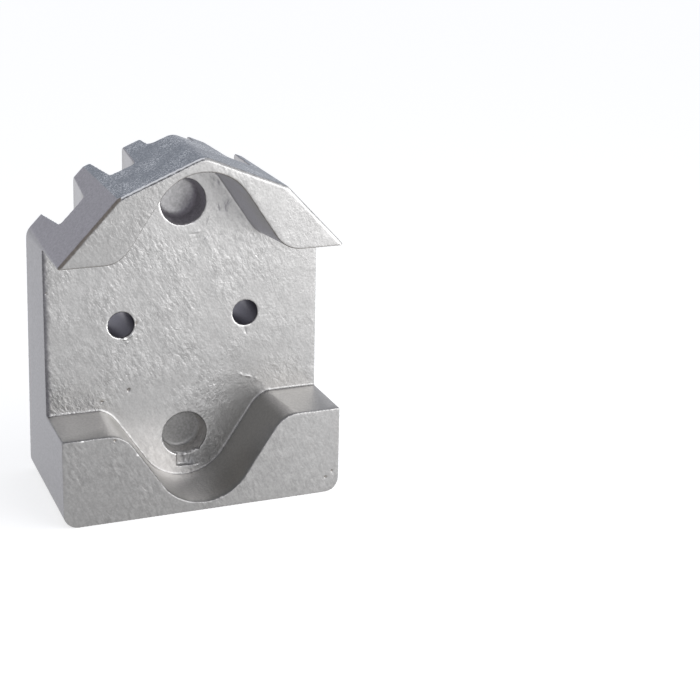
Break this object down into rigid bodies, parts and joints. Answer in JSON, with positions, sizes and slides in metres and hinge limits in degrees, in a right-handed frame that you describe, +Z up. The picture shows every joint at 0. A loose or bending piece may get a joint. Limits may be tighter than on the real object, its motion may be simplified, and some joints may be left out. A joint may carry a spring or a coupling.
{
  "type": "sacrificial anode",
  "caption": "Cast sacrificial anode with a gabled outline, a finned back, and a screw-mounted channel between two notched lips.",
  "frame": {"origin": "middle of the footprint, on the flat end it stands on", "axes": "+X across the casting, +Y from the faces of the mounting lips to the fin tips, +Z up to the ridge"},
  "size_m": [0.0768, 0.0422, 0.0964],
  "materials": {
    "cast_metal": "as-cast anode alloy: satin, hammered skin with small pits and flash, smoother on the side faces"
  },
  "bodies": {
    "root": {"anode_casting": "cast_metal"}
  },
  "joints": []
}
